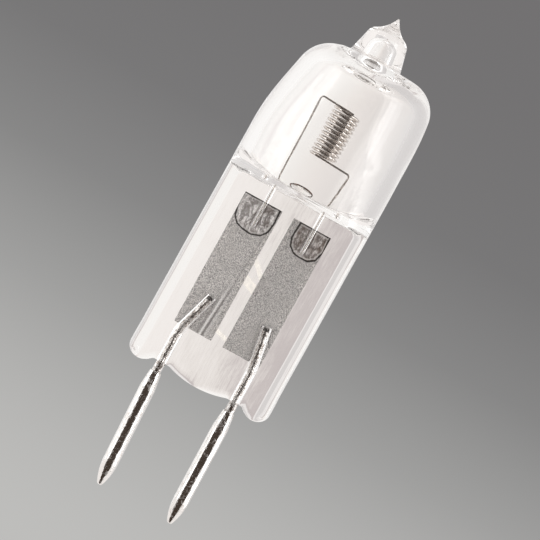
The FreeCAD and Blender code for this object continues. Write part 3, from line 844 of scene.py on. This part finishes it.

# %% [markdown]
# The sealing foils
#
# Two molybdenum foils, thinner than paper, carry the current through the glass. The quartz wets them, so
# they look like matt speckled metal. Near their upper end, round the filament's leg, the glass let go and
# left a D-shaped patch that looks dark and wrinkled with a sharp black border. That border is painted shade
# with a painted highlight beside it, and the wrinkles get painted shade in their folds.
# Each foil is a fine grid with a few soft creases. The distance from the patch's border is stored on its
# points, so that the shader can paint the border's shade and the wrinkles exactly there.

# %% Foil meshes with the patch distance on their points
PATCHES = {
    "left": [(-3.86, 16.62), (-0.82, 16.62), (-0.77, 15.6), (-0.84, 14.78), (-1.25, 14.22), (-1.95, 13.97),
             (-2.75, 14.05), (-3.26, 14.22), (-3.72, 14.75), (-3.88, 15.6)],
    "right": [(0.97, 16.62), (3.50, 16.62), (3.58, 15.4), (3.33, 14.59), (2.8, 14.22), (2.1, 14.22),
              (1.58, 14.3), (1.15, 14.65), (0.91, 15.28)],
}
CREASES = {"left": [(-1.22, 0.05, 0.02), (-1.72, 0.10, -0.018), (-2.9, 0.22, 0.016)],
           "right": [(1.0, 0.12, 0.018), (2.7, 0.22, -0.016)]}
CREASE_SHARE = 0.4
FOIL_WAVE = 0.006
PATCH_GROW = 0.03
FOIL_ACROSS, FOIL_ALONG = 56, 190


def patch_distance(side, x, z):
    """Distance in mm from the border of the unbonded patch, negative inside."""
    outline = PATCHES[side]
    nearest, inside = 9.0, False
    for (ax, az), (bx, bz) in zip(outline, outline[1:] + outline[:1]):
        share = ((x - ax) * (bx - ax) + (z - az) * (bz - az)) / ((bx - ax) ** 2 + (bz - az) ** 2)
        share = min(max(share, 0.0), 1.0)
        nearest = min(nearest, math.hypot(x - ax - (bx - ax) * share, z - az - (bz - az) * share))
        if (az > z) != (bz > z) and x < ax + (bx - ax) * (z - az) / (bz - az):
            inside = not inside
    return (-nearest if inside else nearest) - PATCH_GROW


def foil_sheet(side):
    """A thin sheet that tapers at its edges and follows the creases."""
    low, high = foil_boxes[side]
    rings = []
    for j in range(FOIL_ALONG + 1):
        z = low.z + (high.z - low.z) * j / FOIL_ALONG
        sway = 0.02 * math.sin(z)
        front, back = [], []
        for i in range(FOIL_ACROSS + 1):
            x = low.x + (high.x - low.x) * i / FOIL_ACROSS
            edge = min(x - low.x, high.x - x)
            thin = 0.03 * ease(edge, 0.0, 0.5) + 0.01
            bend = sum(depth * math.exp(-((x - at - sway) / width) ** 2)
                       for at, width, depth in CREASES[side])
            middle = (FOIL_FRONT + FOIL_BACK) / 2 + FOIL_WAVE * ripple(x, 0.0, z, 0.9, 21.0)
            middle += CREASE_SHARE * bend
            front.append((x, max(middle - thin, FOIL_FRONT), z))
            back.append((x, min(middle + thin, FOIL_BACK), z))
        rings.append(front + back[::-1])
    sheet = merge_shells(f"foil_sheet_{side}", [skin(rings)])
    patch = sheet.data.attributes.new("patch_distance", "FLOAT", "POINT")
    for index, vertex in enumerate(sheet.data.vertices):
        patch.data[index].value = patch_distance(side, vertex.co.x / MM, vertex.co.z / MM)
    return sheet


foils = {side: foil_sheet(side) for side in SIDES}
print(f"each foil has {count_triangles(foils['left'])} triangles")

# %% [markdown]
# Foil finish
#
# The bonded foil is a fine pepper-and-salt grey, with a painted highlight and lines of painted shade along a
# crease. Inside the patch it turns brownish with crumpled wrinkles whose folds get painted shade, and a thin
# line of painted shade with a painted highlight beside it follows the border. Along the leg the foil gets a
# painted highlight between two bands of painted shade. Each of these is a mask, and the colours are laid
# over each other by the masks.

# %% Foil material: masks for the grain, the patch and its wrinkles
foil_metal, tree = start_material("matt_molybdenum_foil")
place = object_place(tree)
at_x, _, at_z = (axis / MM for axis in axes(place))
pepper = speckle(tree, stretched(tree, place, (1.0, 1.0, 0.6)), 22.0, 1.0)
grains = pepper.step(0.42, 0.58)
cloud = speckle(tree, place, 0.8, 2.0).step(0.45, 0.75)
patch = node(tree, "ShaderNodeAttribute", {"attribute_name": "patch_distance"}, {}, "Fac")
patch = patch + 0.10 * speckle(tree, place, 1.6, 2.0) - 0.05
inside = patch.step(0.02, -0.04)
# Masks for painted shade along the patch's border and a painted highlight just inside it.
painted_rim_shade = patch.step(-0.115, -0.07) * patch.step(0.055, 0.01)
painted_rim_highlight = patch.step(-0.24, -0.18) * patch.step(-0.11, -0.15)
wrinkle = speckle(tree, stretched(tree, place, (1.0, 1.0, 0.5)), 2.3, 3.0, 1.0)
crumple = speckle(tree, stretched(tree, place, (1.0, 1.0, 0.6)), 4.6, 2.0, 0.9)
# Masks for painted shade in the folds of the patch's wrinkles.
fold_shade = abs(wrinkle - 0.5).step(0.09, 0.02)
fine_fold_shade = abs(crumple - 0.52).step(0.08, 0.02)
blotch = speckle(tree, place, 1.2, 3.0, 0.4).step(0.42, 0.60)
print("the foils have grain, wrinkles and a border")

# %% Foil material: colours of the loose and the bonded foil
right_foil = at_x.step(-0.1, 0.1)
scorched = at_x.step(0.0, 0.1) * abs(at_x - 2.2).step(0.2, 0.6)
scorched = scorched + at_x.step(-2.1, -1.5) * at_x.step(0.0, -0.1) * 0.7
off_leg = abs(abs(at_x) - 2.12)
leg_height = at_z.step(LEG_END_Z - 0.2, LEG_END_Z)
# Along the leg the loose foil gets a band of painted shade and, over it, a narrower painted highlight.
loose = painted(tree, mix_colour(tree, grains, (0.76, 0.72, 0.71), (1.0, 0.98, 0.97)), (
    (right_foil * 0.42, (0.34, 0.28, 0.25)),
    (blotch * (0.15 + 0.7 * scorched), (0.15, 0.10, 0.075)),
    # Painted shade in the wrinkles' folds.
    (fold_shade * 0.65, (0.07, 0.05, 0.04)),
    (fine_fold_shade * (0.3 + 0.4 * scorched), (0.10, 0.075, 0.06)),
    # Painted shade beside the leg, then a painted highlight along it.
    (off_leg.step(0.36, 0.26) * leg_height * 0.65, (0.12, 0.09, 0.075)),
    (off_leg.step(0.21, 0.17) * leg_height, (1.0, 0.985, 0.975)),
))
# Along a crease the bonded foil gets a painted highlight with lines of painted shade and one more painted
# highlight beside it, strongest low on the foil.
crease = at_x + 1.61 - 0.06 * (at_z - 6.5)
lower = at_z.step(10.5, 7.5)
bonded = painted(tree, mix_colour(tree, grains, (0.26, 0.25, 0.245), (0.80, 0.765, 0.74)), (
    (cloud * 0.3, (0.53, 0.50, 0.485)),
    (abs(crease).step(0.10, 0.03) * lower * 0.8, (0.95, 0.93, 0.92)),
    (abs(crease - 0.20).step(0.10, 0.03) * (0.3 + 0.5 * lower), (0.20, 0.18, 0.175)),
    (abs(crease + 0.24).step(0.14, 0.04) * lower * 0.5, (0.22, 0.20, 0.195)),
    (abs(crease - 0.42).step(0.12, 0.04) * lower * 0.4, (0.85, 0.83, 0.82)),
    (right_foil * 0.13, (0.22, 0.21, 0.205)),
))
# The base colour ends with the painted highlight and the painted shade at the patch's border.
finish_material(tree, {
    "Base Color": painted(tree, bonded, (
        (inside, loose), (painted_rim_highlight * 0.7, (0.62, 0.60, 0.58)), (painted_rim_shade * 0.95, (0.014, 0.009, 0.007)))),
    "Metallic": 0.2,
    "Roughness": 0.62 - 0.15 * inside,
    "Normal": bumped(tree, 0.5, 0.03, pepper * 0.35 + inside * wrinkle),
})
for side, sheet in foils.items():
    sheet.data.materials.append(foil_metal)
    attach(sheet, "root")
    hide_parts(f"foil_{side}")
print("both foils are speckled molybdenum")

# %% [markdown]
# Lead wires and pins
#
# A molybdenum wire is welded to the foot of each foil and leaves the glass into its contact pin. The pin is
# turned bright metal with a long rounded point and a cone at the wire. Both are stacks of rings, fine enough
# that the reflections run smoothly round them. Both pins lean a little, the left one more.


# %% Lead wire meshes
def lead_wire(side):
    path = spaced(lead_path(side), 0.1)
    last = len(path) - 1

    def radius(index):
        return LEAD_RADIUS * (1.0 - 0.25 * ease(index, last - 2, last) ** 2)

    return merge_shells(f"lead_wire_{side}", [skin(tube_rings(path, radius, 32, FOIL_FRONT))])


leads = {side: lead_wire(side) for side in SIDES}
print(f"each lead has {count_triangles(leads['left'])} triangles")

# %% Contact pin meshes
SHANK_RADIUS = (pin_boxes["left"][1].x - pin_boxes["left"][0].x) / 2
PIN_LOW = pin_boxes["left"][0].z
CONE_TOP = pin_boxes["left"][1].z
POINT_LENGTH, POINT_END = 2.05, 0.18
CONE_START, CONE_ROUND = -0.12, 0.9
COLLAR_RADIUS, COLLAR_ROUND = LEAD_RADIUS + 0.035, 0.06
SOCKET_RADIUS, SOCKET_DEPTH = LEAD_RADIUS + 0.015, 1.0
PIN_LEAN = {"left": 0.04, "right": 0.012}
PIN_SIDES = 64


def pin_profile():
    """From the small flat at the point, over the ogive and the shank, to the cone and its socket."""
    bow = (POINT_LENGTH ** 2 + (SHANK_RADIUS - POINT_END) ** 2) / (2.0 * (SHANK_RADIUS - POINT_END))
    sweep = math.degrees(math.asin(POINT_LENGTH / bow))
    start = PIN_LOW + POINT_LENGTH
    collar_z = CONE_TOP - COLLAR_ROUND
    socket_floor = CONE_TOP - SOCKET_DEPTH
    points = [(0.0, PIN_LOW), (POINT_END * 0.6, PIN_LOW), (POINT_END * 0.9, PIN_LOW + 0.012)]
    points += arc((SHANK_RADIUS - bow, start), bow, -sweep * 0.985, 0.0, 22)
    points += run((SHANK_RADIUS, start), (SHANK_RADIUS, CONE_START), 36)
    points += arc((SHANK_RADIUS - CONE_ROUND, CONE_START), CONE_ROUND, 0.0, 7.2, 3)
    points += run(points[-1], (COLLAR_RADIUS + COLLAR_ROUND, collar_z), 12)
    points += arc((COLLAR_RADIUS, collar_z), COLLAR_ROUND, 0.0, 90.0, 5)
    return points + [(SOCKET_RADIUS, CONE_TOP - 0.01), (SOCKET_RADIUS, socket_floor), (0.0, socket_floor)]


def contact_pin(side):
    """The pin's profile turned round, leaning to the right as it goes down."""
    rings = []
    for radius, z in pin_profile():
        middle = PIN_X * SIDES[side] + PIN_LEAN[side] * (CONE_TOP - z)
        turns = [2.0 * math.pi * i / PIN_SIDES for i in range(PIN_SIDES)]
        rings.append([(middle + radius * math.cos(turn), radius * math.sin(turn), z) for turn in turns])
    return merge_shells(f"contact_pin_{side}_turned", [skin(rings)])


pins = {side: contact_pin(side) for side in SIDES}
print(f"each pin has {count_triangles(pins['left'])} triangles")

# %% [markdown]
# Bright metals
#
# The pins mirror the room. Their plating is slightly orange-peeled, drawn along its length and stained, most
# of all on the cone, which breaks the reflections into a mottled streak. The wires have the same look with
# more stains, and a dark end where they are welded to the foil.

# %% Pin plating
pin_metal, tree = start_material("bright_pin_plating")
place = object_place(tree)
peel = speckle(tree, stretched(tree, place, (1.0, 1.0, 0.45)), 2.4, 4.0)
drawn = speckle(tree, stretched(tree, place, (1.0, 1.0, 0.04)), 5.0, 2.0)
stain = speckle(tree, place, 1.9, 4.0, 0.5)
fleck = speckle(tree, place, 6.0, 3.0)
cone = (axes(place)[2] / MM).step(-1.0, 0.4)
dull = (speckle(tree, place, 3.2, 3.0, 0.3) + 0.08 * cone).step(0.56, 0.66)
finish_material(tree, {
    "Base Color": painted(tree, (0.92, 0.90, 0.88), (
        (stain.step(0.52, 0.68) * 0.25, (0.42, 0.31, 0.24)),
        (fleck.step(0.60, 0.72) * (0.15 + 0.4 * cone), (0.20, 0.15, 0.12)))),
    "Metallic": 1.0,
    "Roughness": 0.1 + 0.16 * stain + 0.3 * dull,
    "Normal": bumped(tree, 0.5, 0.08, peel + 0.5 * drawn),
})
print("the plating is stained most on the cone")

# %% Wire finish
wire_metal, tree = start_material("mottled_molybdenum_wire")
place = object_place(tree)
peel = speckle(tree, stretched(tree, place, (1.0, 1.0, 0.4)), 4.0, 3.0)
stain = speckle(tree, place, 3.2, 4.0, 0.6)
weld_end = (axes(place)[2] / MM).step(LEAD_END_Z - 0.32, LEAD_END_Z - 0.22)
dull = speckle(tree, place, 3.6, 3.0, 0.3).step(0.46, 0.62)
finish_material(tree, {
    "Base Color": painted(tree, (0.90, 0.88, 0.86), (
        (stain.step(0.48, 0.62) * 0.7, (0.26, 0.20, 0.165)),
        (weld_end * 0.9, (0.03, 0.022, 0.018)))),
    "Metallic": 1.0,
    "Roughness": 0.14 + 0.2 * stain + 0.35 * dull,
    "Normal": bumped(tree, 0.8, 0.08, peel),
})
print("the wires are mottled and dark at the weld")

# %% Dress the wires and pins
for side in SIDES:
    for piece, metal, slot_name, cad_node in ((leads[side], wire_metal, "molybdenum_wire", f"lead_{side}"),
                                              (pins[side], pin_metal, "pin_plating", f"contact_pin_{side}")):
        piece.data.materials.append(metal)
        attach(piece, "root")
        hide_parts(cad_node)
print("wires and pins are finished")

# %% [markdown]
# The studio
#
# The lamp hangs before a plain grey backdrop, lighter towards the pins. Clear glass and bright metal show
# only what stands round them, so the room matters more than the lamps.
# A Light Path node tells the rays apart. Camera rays see the backdrop. Rays that came through the solid seal
# or through the hollow bulb see a soft white wall behind. Mirrored rays also see a bright box on each side.
# Rays off metal see a dim ceiling and a dark gap on the camera's side, which draws the dark streak down
# every round metal piece. Matt surfaces get an even fill.


# %% Helpers that ask how a ray came here
def ray(tree, question):
    """One answer of the Light Path node."""
    return node(tree, "ShaderNodeLightPath", {}, {}, question)


def solid_glass(tree):
    """1 for rays that came through one piece of glass, 0 for those that crossed the gas space too."""
    depth = ray(tree, "Transmission Depth")
    return depth.step(0.4, 0.6) * depth.step(3.6, 3.4)


def reflected(tree):
    """1 for rays that were mirrored on their way, 0 for those that came straight through the glass."""
    return ray(tree, "Glossy Depth").step(0.4, 0.6)


def off_metal(tree):
    """1 for mirrored rays that met no glass, or one wall on the way in and one on the way out."""
    depth = ray(tree, "Transmission Depth")
    return reflected(tree) * (depth.step(0.6, 0.4) + depth.step(3.4, 3.6) * depth.step(4.6, 4.4))


def camera_gap(x, y):
    """1 towards the camera's side for rays off metal."""
    toward = abs(x.math("ARCTAN2", x, -y)).step(math.radians(49), math.radians(45))
    return toward * off_metal(x.tree)


# %% World: the backdrop and the walls of the room
ROOM_LIGHT = 4.0
GAP_COLOUR = (0.05, 0.036, 0.027)


def shade(red, green, blue):
    """A colour of the room, before the room's light multiplies it."""
    return red / ROOM_LIGHT, green / ROOM_LIGHT, blue / ROOM_LIGHT


def ramp(tree, factor, stops):
    return node(tree, "ShaderNodeValToRGB", {"stops": stops}, {"Fac": factor})


world = bpy.data.worlds.new("studio")
bpy.context.scene.world = world
world.use_nodes = True
tree = world.node_tree
tree.nodes.clear()
aim_x, aim_y, aim_z = axes(node(tree, "ShaderNodeTexCoord", {}, {}, "Generated"))
bearing = aim_x.math("ARCTAN2", aim_x, -aim_y) * math.degrees(1.0)
backdrop = ramp(tree, aim_z.step(-0.080, 0.080), [
    (0.0, (0.515, 0.512, 0.500)), (0.27, (0.352, 0.350, 0.345)), (0.5, (0.245, 0.243, 0.242)),
    (0.72, (0.190, 0.187, 0.188)), (1.0, (0.171, 0.166, 0.168))])
behind_seal = ramp(tree, aim_x + 0.5, [
    (0.0, shade(0.98, 0.97, 0.96)), (0.46, shade(0.97, 0.95, 0.93)), (0.4875, shade(0.92, 0.88, 0.855)),
    (0.5, shade(0.805, 0.762, 0.733)), (0.51, shade(0.60, 0.548, 0.54)), (0.522, shade(0.56, 0.51, 0.505)),
    (0.535, shade(0.86, 0.83, 0.82)), (0.60, shade(0.86, 0.83, 0.82)), (0.66, shade(0.69, 0.665, 0.66)),
    (1.0, shade(0.69, 0.67, 0.665))])
behind_bulb = ramp(tree, aim_x * 1.1 + 0.5, [
    (0.0, shade(0.95, 0.94, 0.935)), (0.20, shade(0.95, 0.94, 0.935)), (0.24, shade(0.85, 0.82, 0.815)),
    (0.28, shade(0.96, 0.955, 0.95)), (0.445, shade(0.96, 0.945, 0.93)), (0.4626, shade(0.95, 0.93, 0.91)),
    (0.481, shade(0.92, 0.89, 0.87)), (0.509, shade(0.885, 0.85, 0.83)), (0.536, shade(0.85, 0.815, 0.80)),
    (0.56, shade(0.815, 0.785, 0.77)), (0.61, shade(0.78, 0.755, 0.745)), (1.0, shade(0.72, 0.71, 0.71))])
behind = mix_colour(tree, solid_glass(tree), behind_bulb, behind_seal)
sides = mix_colour(tree, aim_x.step(0.1, -0.1), shade(0.76, 0.74, 0.735), shade(0.97, 0.965, 0.955))
walls = mix_colour(tree, abs(bearing).step(105, 150), sides, behind)
print("the room has white walls behind and beside the lamp")

# %% World: boxes, dark gap, ceiling and fill
edge = 36.7 + 66.0 / (1.0 + aim_z.math("MAXIMUM", aim_z, 0.0) / 0.04)
edge = edge.math("MINIMUM", edge, 90.0)
streaks = node(tree, "ShaderNodeTexNoise", {"noise_dimensions": "1D"}, {
    "W": bearing, "Scale": 0.16, "Detail": 2.0}).step(0.4, 0.6)
past_right = bearing - edge
past_left = -bearing - edge
right_box = past_right.step(-1.0, 1.5) * (0.2 + 0.8 * past_right.step(30.0, 11.0)) * bearing.step(115, 95)
left_box = past_left.step(-1.0, 2.5) * (-bearing).step(120, 90) * (0.6 + 0.4 * streaks)
ceiling = aim_z.step(0.45, 0.75)
matt_bounce = ray(tree, "Diffuse Depth")
room = painted(tree, walls, (
    (right_box * reflected(tree), shade(3.0, 2.98, 2.96)),
    (left_box * reflected(tree), shade(1.7, 1.69, 1.68)),
    (camera_gap(aim_x, aim_y), shade(*GAP_COLOUR)),
    (ceiling * off_metal(tree), shade(0.13, 0.11, 0.10)),
    (matt_bounce.math("MINIMUM", matt_bounce, 1.0), shade(1.6, 1.6, 1.6)),
))
seen = node(tree, "ShaderNodeBackground", {}, {"Color": backdrop, "Strength": 1.0})
lit = node(tree, "ShaderNodeBackground", {}, {"Color": room, "Strength": ROOM_LIGHT})
both = node(tree, "ShaderNodeMixShader", {}, {0: ray(tree, "Is Camera Ray"), 1: lit, 2: seen})
node(tree, "ShaderNodeOutputWorld", {}, {"Surface": both})
print("the studio surrounds the lamp")

# %% [markdown]
# The floor and the lamps
#
# A pale floor lies below, out of the photograph's frame, and shows in views from above. To the camera and
# to matt pieces it is matt paint. Glass and mirrors see it glow, as they see the room, with the same dark
# gap on the camera's side. Two soft area lamps add a little light from the left and the right, weak enough
# that pale colours do not clip.

# %% Floor below the hanging lamp
FLOOR_RADIUS, FLOOR_DROP = 0.6, 0.1
floor_paint, tree = start_material("pale_floor")
place = object_place(tree)
tone = speckle(tree, place, 0.02, 3.0)
matt = node(tree, "ShaderNodeBsdfPrincipled", {}, {
    "Base Color": mix_colour(tree, tone, (0.56, 0.56, 0.555), (0.60, 0.60, 0.595)), "Roughness": 0.85})
floor_x, floor_y, _ = axes(place)
glow_colour = mix_colour(tree, camera_gap(floor_x, floor_y), (0.93, 0.895, 0.875), GAP_COLOUR)
glow = node(tree, "ShaderNodeEmission", {}, {"Color": glow_colour, "Strength": 1.0})
mirrored = ray(tree, "Is Glossy Ray")
either = mirrored.math("MAXIMUM", mirrored, ray(tree, "Is Transmission Ray"))
surface = node(tree, "ShaderNodeMixShader", {}, {0: either, 1: matt, 2: glow})
node(tree, "ShaderNodeOutputMaterial", {}, {"Surface": surface})
floor_mesh = bmesh.new()
bmesh.ops.create_circle(floor_mesh, cap_ends=True, segments=96, radius=FLOOR_RADIUS)
bmesh.ops.translate(floor_mesh, verts=floor_mesh.verts, vec=(0.0, 0.0, -FLOOR_DROP))
floor_data = bpy.data.meshes.new("floor")
floor_mesh.to_mesh(floor_data)
floor_mesh.free()
floor = bpy.data.objects.new("floor", floor_data)
floor.data.materials.append(floor_paint)
bpy.context.scene.collection.objects.link(floor)
print(f"the floor lies {FLOOR_DROP} m below the pins' shanks")


# %% Soft lamps
def softbox(name, place, target, size, power):
    light = bpy.data.lights.new(name, "AREA")
    light.shape = "RECTANGLE"
    light.size, light.size_y = size
    light.energy = power
    lamp = bpy.data.objects.new(name, light)
    lamp.location = place
    lamp.rotation_euler = (Vector(target) - Vector(place)).to_track_quat("-Z", "Y").to_euler()
    bpy.context.scene.collection.objects.link(lamp)
    return lamp


softbox("left_softbox", (-0.45, -0.28, 0.12), (0, 0, 0.015), (0.16, 0.36), 0.2)
softbox("right_softbox", (0.45, -0.22, 0.10), (0, 0, 0.015), (0.14, 0.34), 0.2)
print("two softboxes stand left and right")

# %% [markdown]
# The camera
#
# The photograph looks straight at the front of the press seal through a long lens, and the lamp leans to the
# right in the frame. The camera is rolled by that lean, so the lamp itself stays upright in its own frame.

# %% Camera
LEAN = math.radians(29.05)
VIEW_WIDTH = 41.06 * MM
VIEW_CENTRE = Vector((0.67, 0.0, 12.30)) * MM
DISTANCE = 0.35
SENSOR = 36.0
BOUNCES = 96
lens = bpy.data.cameras.new("photo_camera")
lens.sensor_width = SENSOR
lens.lens = SENSOR * DISTANCE / VIEW_WIDTH
lens.clip_start = 0.01
camera = bpy.data.objects.new("photo_camera", lens)
right = Vector((math.cos(LEAN), 0.0, math.sin(LEAN)))
up = Vector((-math.sin(LEAN), 0.0, math.cos(LEAN)))
back = right.cross(up)
spot = VIEW_CENTRE + back * DISTANCE
camera.matrix_world = Matrix((
    (right.x, up.x, back.x, spot.x),
    (right.y, up.y, back.y, spot.y),
    (right.z, up.z, back.z, spot.z),
    (0.0, 0.0, 0.0, 1.0)))
bpy.context.scene.collection.objects.link(camera)
bpy.context.scene.camera = camera
bpy.context.scene.view_settings.view_transform = "Standard"
cycles = bpy.context.scene.cycles
cycles.max_bounces = cycles.glossy_bounces = cycles.transmission_bounces = BOUNCES
print(f"the camera's lens is {lens.lens:.0f} mm")
